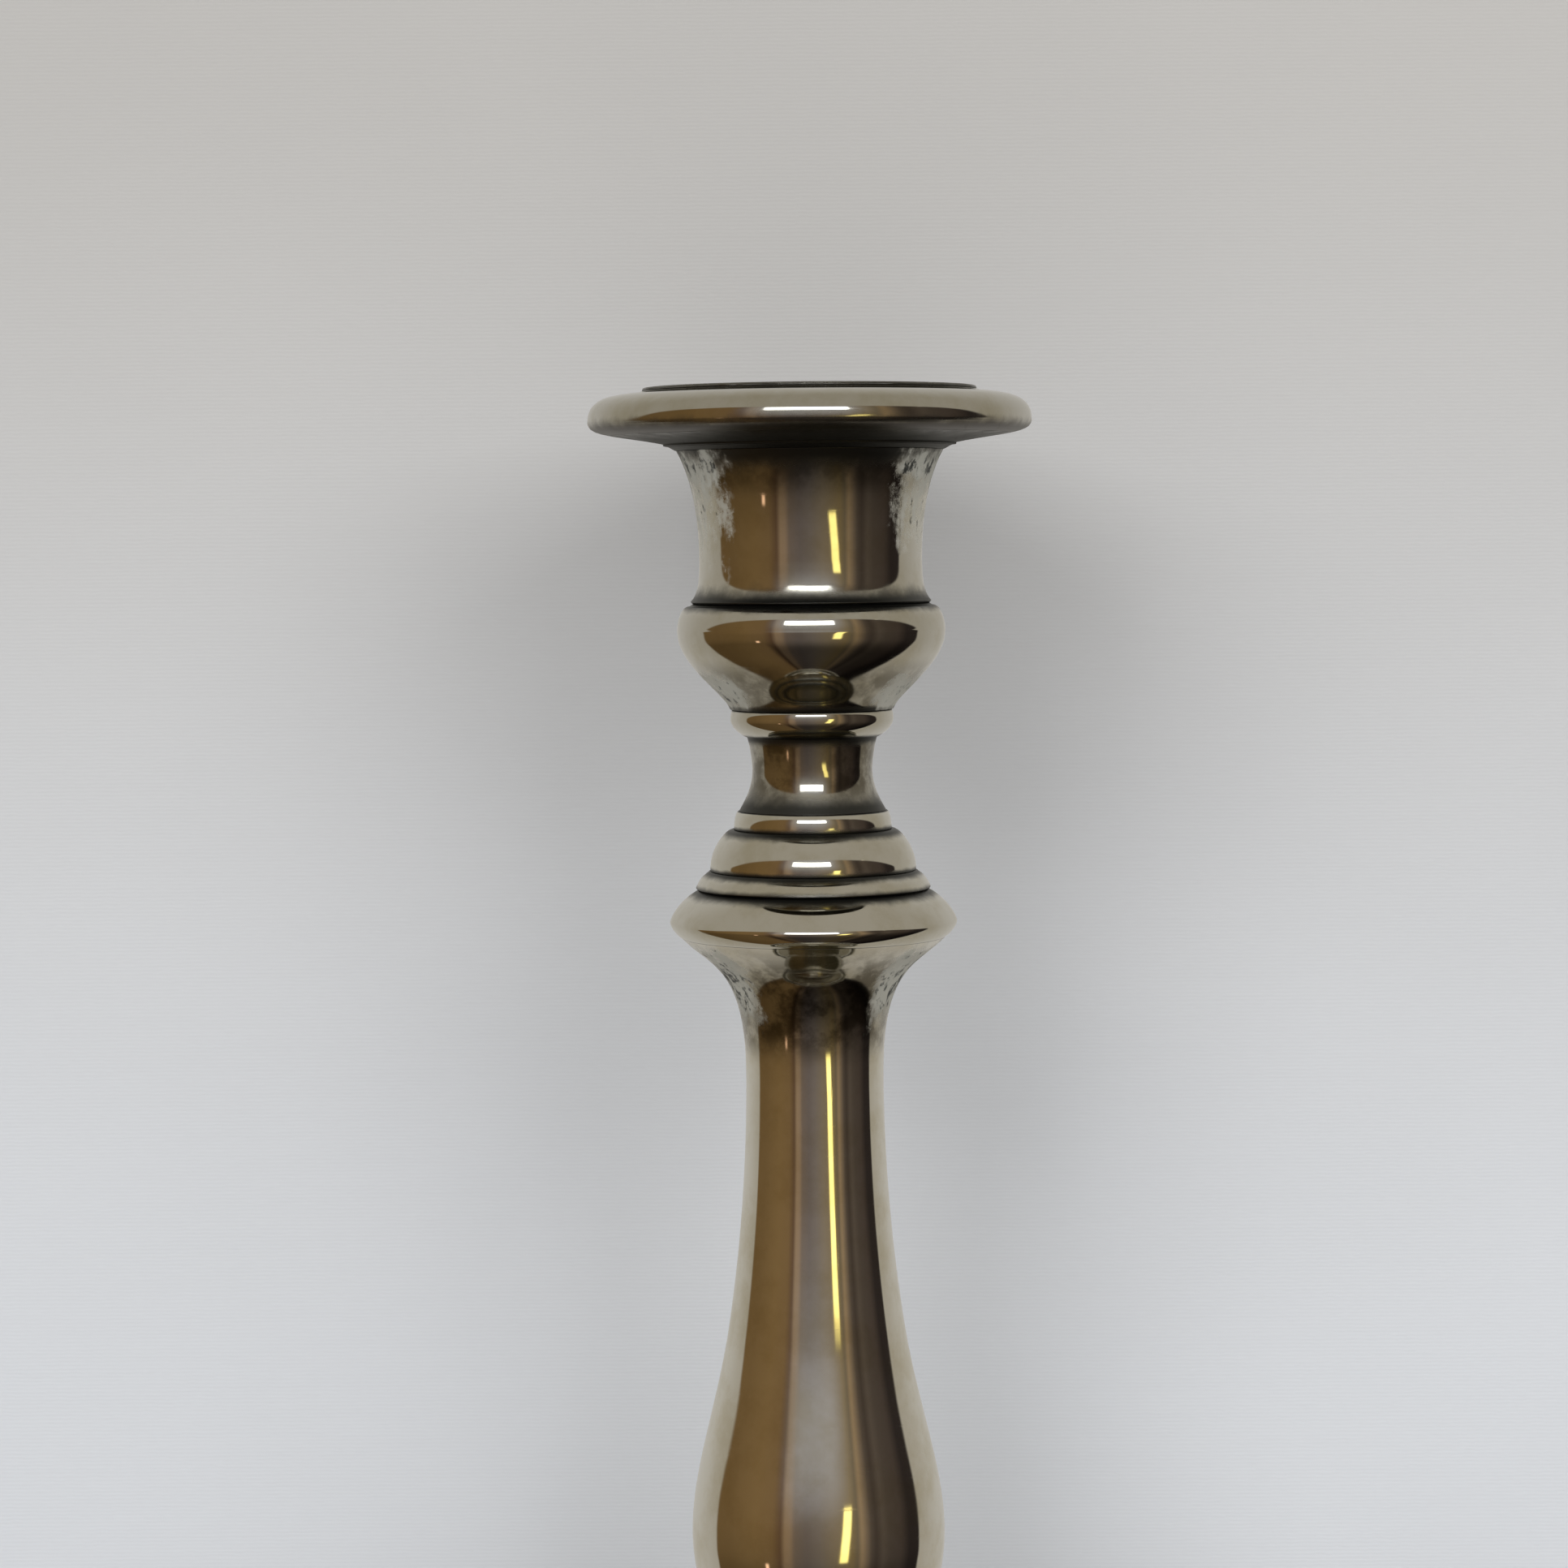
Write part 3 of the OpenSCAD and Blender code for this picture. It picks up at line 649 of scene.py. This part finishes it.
def pale_cloth(name, low_painted_light_tone, high_painted_light_tone, centre, fade, mirror_reach, hole=0.0):
    """Pale woven cotton with painted light, less lit higher up; mirrors see it only as far as
    mirror_reach.

    It fades out round its centre over the two distances of fade, and is open inside hole.
    """
    material, tree, shader, position = new_material(name)
    weave = add(tree, "ShaderNodeTexWave", [("Vector", position), ("Scale", 640.0),
                                            ("Distortion", 2.0), ("Detail", 2.0)],
                bands_direction="Z").outputs["Fac"]
    slubs = cloudy(tree, position, 700, 3, 0.6, (0.25, 1, 1))
    cloud = cloudy(tree, position, 9, 3, 0.5)
    height = add(tree, "ShaderNodeSeparateXYZ", [(0, position)]).outputs["Z"]
    # Painted light: the colour goes from the low tone to the high tone as the cloth rises
    tone = mixed(tree, ramped(tree, height, painted_light_from, painted_light_to), low_painted_light_tone, high_painted_light_tone)
    tree.links.new(mixed(tree, ramped(tree, cloud, 0.3, 0.7, 0.08, 0.0), tone,
                         cloud_tone), shader.inputs["Base Color"])
    bump = add(tree, "ShaderNodeBump", [("Strength", 0.1), ("Distance", 0.08 * MM)])
    tree.links.new(sums(tree, "ADD", weave, slubs), bump.inputs["Height"])
    tree.links.new(bump.outputs["Normal"], shader.inputs["Normal"])
    shader.inputs["Roughness"].default_value = 0.95
    shader.inputs["Specular IOR Level"].default_value = 0.1
    away = add(tree, "ShaderNodeVectorMath", [(0, position), (1, centre)],
               operation="DISTANCE").outputs["Value"]
    faded = ramped(tree, away, *fade)
    path = tree.nodes.new("ShaderNodeLightPath").outputs
    unseen = sums(tree, "MULTIPLY", path["Is Glossy Ray"],
                  sums(tree, "GREATER_THAN", path["Ray Length"], mirror_reach))
    back = tree.nodes.new("ShaderNodeNewGeometry").outputs["Backfacing"]
    hidden = sums(tree, "MAXIMUM", sums(tree, "MAXIMUM", unseen, back), faded)
    hidden = sums(tree, "MAXIMUM", hidden, sums(tree, "LESS_THAN", away, hole))
    clear = tree.nodes.new("ShaderNodeBsdfTransparent")
    mix = add(tree, "ShaderNodeMixShader", [(0, hidden)])
    tree.links.new(shader.outputs[0], mix.inputs[1])
    tree.links.new(clear.outputs[0], mix.inputs[2])
    tree.links.new(mix.outputs[0], tree.nodes["Material Output"].inputs["Surface"])
    return material


def hung(name, line, half_width, material):
    """A sheet across the stage, its side view given as (y, z) points."""
    verts = [(x, y, z) for y, z in line for x in (-half_width, half_width)]
    faces = [(2 * i, 2 * i + 1, 2 * i + 3, 2 * i + 2) for i in range(len(line) - 1)]
    mesh = bpy.data.meshes.new(name)
    mesh.from_pydata(verts, [], faces)
    mesh.shade_smooth()
    mesh.materials.append(material)
    sheet = bpy.data.objects.new(name, mesh)
    bpy.context.scene.collection.objects.link(sheet)
    sheet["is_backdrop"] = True


table_reach = 1.2
hung("table", [(-table_reach, 0), (table_reach, 0)], table_reach,
     pale_cloth("Table_Cloth", (0.62, 0.62, 0.61), (0.62, 0.62, 0.61), (0, 0, 0),
                (0.3, 0.9), 60 * MM, cad_high.y - 4 * MM))
cloth_y = 34 * MM
cloth_back = cad_high.y + 20 * MM
cloth_top = 0.42
cloth_half_width = 0.22
sweep_rise = 70 * MM
sweep_steps = 12
swept = [(cloth_back + (cloth_y - cloth_back) * (1 - cos(pi * i / sweep_steps)) / 2,
          sweep_rise * i / sweep_steps) for i in range(sweep_steps + 1)]
# Painted light on the hanging cloth: pale and bluish low down, darker and greyer higher up
hung("hanging_cloth", swept + [(cloth_y, cloth_top)], cloth_half_width,
     pale_cloth("Hanging_Cloth", (0.735, 0.76, 0.80), (0.505, 0.495, 0.48),
                (0, cloth_y, cad_high.z * 0.76), (0.145, 0.2), 0.0))


# ---- Light ------------------------------------------------------------------------------
# A soft studio: an even pale light all round and two softboxes for dull surfaces, and for
# the polished ones a pale cloth behind, and in front a dim warm room with a long white lamp
# above and a narrow yellow one at the right.

world = bpy.data.worlds.new("Studio")
bpy.context.scene.world = world
world.use_nodes = True
sky = world.node_tree
sky.nodes.clear()
way = add(sky, "ShaderNodeSeparateXYZ",
          [(0, sky.nodes.new("ShaderNodeTexCoord").outputs["Generated"])]).outputs
azimuth = sums(sky, "MULTIPLY", sums(sky, "ARCTAN2", way["X"],
                                     sums(sky, "MULTIPLY", way["Y"], -1.0)), 180 / pi)
elevation = sums(sky, "MULTIPLY", sums(sky, "ARCSINE", way["Z"]), 180 / pi)
# Colours round the front, by azimuth in degrees from straight ahead, left to right
room = ((-90, (0.158, 0.098, 0.041)), (-60, (0.195, 0.122, 0.051)), (-43, (0.188, 0.117, 0.053)),
        (-35, (0.120, 0.070, 0.040)), (-31, (0.29, 0.20, 0.125)), (-26, (0.28, 0.195, 0.13)),
        (-22, (0.17, 0.13, 0.105)), (-11, (0.150, 0.123, 0.115)), (0, (0.182, 0.152, 0.135)),
        (12, (0.22, 0.175, 0.125)), (30, (0.22, 0.16, 0.08)), (35, (0.16, 0.125, 0.08)),
        (39, (0.29, 0.205, 0.12)), (44, (0.17, 0.125, 0.085)), (48, (0.085, 0.065, 0.050)),
        (53, (0.056, 0.042, 0.033)), (60, (0.090, 0.070, 0.055)), (67, (0.070, 0.054, 0.043)),
        (80, (0.060, 0.045, 0.037)), (90, (0.026, 0.020, 0.018)))
panorama = add(sky, "ShaderNodeValToRGB",
               [(0, sums(sky, "MULTIPLY_ADD", azimuth, 1 / 360, 0.5))])
stops = panorama.color_ramp.elements
for i, (angle, tone) in enumerate(room):
    stop = stops[i] if i < 2 else stops.new((angle + 180) / 360)
    stop.position = (angle + 180) / 360
    stop.color = (*tone, 1)


def window(source, low, high, soft):
    """One inside low..high, zero outside, with soft edges."""
    rising = ramped(sky, source, low - soft, low + soft)
    falling = ramped(sky, source, high - soft, high + soft, 1.0, 0.0)
    return sums(sky, "MULTIPLY", rising, falling)


def lamp(view, low, high, left, right, soft, tone, lean):
    """The view with a lamp added between two elevations and two azimuths."""
    leaning = sums(sky, "MULTIPLY_ADD", elevation, -lean, azimuth)
    shape = sums(sky, "MULTIPLY", window(elevation, low, high, soft),
                 window(leaning, left, right, soft))
    return mixed(sky, shape, view, tone)


# The room darkens towards the floor, but less at the far left
low_dark = ramped(sky, elevation, -48, 2, 0.22, 1.0)
low_dark = sums(sky, "MAXIMUM", low_dark, ramped(sky, azimuth, -45, -30, 0.6, 0.0))
view = add(sky, "ShaderNodeVectorMath", [(0, panorama.outputs["Color"])], operation="SCALE")
sky.links.new(low_dark, view.inputs["Scale"])
view = view.outputs[0]
# The white lamp's glow, the yellow lamp, a small pink one, the white lamp and a small white
for low, high, left, right, soft, tone, lean in (
        (10, 50, -30, 25, 14, (0.40, 0.392, 0.40), 0.0),
        (-15, 5, 21.8, 29.2, 1.2, (1.9, 1.6, 0.55), 0.25),
        (-21, -17, -50, -47, 1.0, (1.3, 0.8, 0.5), 0.0),
        (19.5, 29.5, -24, 20, 1.2, (4.5, 4.6, 4.7), 0.0),
        (27, 31, 61, 65, 1.2, (3.0, 2.8, 2.3), 0.0)):
    view = lamp(view, low, high, left, right, soft, tone, lean)
# The cloth's edge lies behind the stem at the sides, a little nearer on the right, and comes
# forward overhead; it is bent, rounded where side and top meet, and soft
edge_bend = 0.19
edge_back = 0.1
nearer_on_right = 0.055
overhead_up, overhead_back = 0.82, 0.574
edge_rounding = 0.12
edge_soft = (-0.02, 0.03)
bend = sums(sky, "MULTIPLY", sums(sky, "POWER", way["X"], 2.0), edge_bend)
past_side = sums(sky, "SUBTRACT", sums(sky, "SUBTRACT", way["Y"], bend), edge_back)
past_side = sums(sky, "MULTIPLY_ADD", sums(sky, "MAXIMUM", way["X"], 0.0), nearer_on_right,
                 past_side)
overhead = sums(sky, "ADD", sums(sky, "MULTIPLY", way["Z"], overhead_up),
                sums(sky, "MULTIPLY", way["Y"], overhead_back))
past_top = sums(sky, "SUBTRACT", overhead, bend)
past_edge = sums(sky, "SMOOTH_MAX", past_side, past_top, edge_rounding)
behind = ramped(sky, past_edge, *edge_soft)
cloth_light = mixed(sky, ramped(sky, way["Y"], 0.2, 0.9), (0.385, 0.358, 0.307),
                    (0.485, 0.468, 0.435))
view = mixed(sky, behind, view, cloth_light)
path = sky.nodes.new("ShaderNodeLightPath").outputs
# One piece mirrored in another looks dim and olive, as in a room lit from one side
olive = (0.040, 0.035, 0.018)
olive_share = 0.6
twice = sums(sky, "GREATER_THAN", path["Glossy Depth"], 1.5)
view = mixed(sky, sums(sky, "MULTIPLY", twice, olive_share), view, olive)
mirror = add(sky, "ShaderNodeBackground", [(0, view)])
even = add(sky, "ShaderNodeBackground", [(0, (0.825, 0.81, 0.795, 1)), (1, 0.70)])
seen = add(sky, "ShaderNodeBackground", [(0, (0.60, 0.60, 0.605, 1))])
dull_or_seen = add(sky, "ShaderNodeMixShader", [(0, path["Is Camera Ray"])])
sky.links.new(even.outputs[0], dull_or_seen.inputs[1])
sky.links.new(seen.outputs[0], dull_or_seen.inputs[2])
chosen = add(sky, "ShaderNodeMixShader", [(0, path["Is Glossy Ray"])])
sky.links.new(dull_or_seen.outputs[0], chosen.inputs[1])
sky.links.new(mirror.outputs[0], chosen.inputs[2])
out = sky.nodes.new("ShaderNodeOutputWorld")
sky.links.new(chosen.outputs[0], out.inputs["Surface"])

aim = Vector((0, 0, 0.17))
softbox_size = 0.6
for name, place, power in (("left_softbox", (-0.55, -0.75, 0.75), 4.6),
                           ("right_softbox", (0.60, -0.65, 0.65), 3.6)):
    light = bpy.data.lights.new(name, "AREA")
    light.size = softbox_size
    light.energy = power
    softbox = bpy.data.objects.new(name, light)
    softbox.location = place
    softbox.rotation_euler = (aim - Vector(place)).to_track_quat("-Z", "Y").to_euler()
    softbox.visible_glossy = False
    bpy.context.scene.collection.objects.link(softbox)


# ---- Camera -----------------------------------------------------------------------------
# A long lens looks from the front and a little from above, level with the cup, and takes in
# the candlestick from its nozzle down to the belly of the stem.

look_down = 3.684
lean_over = 0.50
lens = bpy.data.cameras.new("camera")
lens.lens = 91.44
lens.sensor_width = 36
camera = bpy.data.objects.new("camera", lens)
camera.location = (-3.06 * MM, -463.5 * MM, 213 * MM)
camera.rotation_euler = (radians(90 - look_down), radians(lean_over), 0)
bpy.context.scene.collection.objects.link(camera)
bpy.context.scene.camera = camera
bpy.context.scene.view_settings.view_transform = "Standard"

low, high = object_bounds()
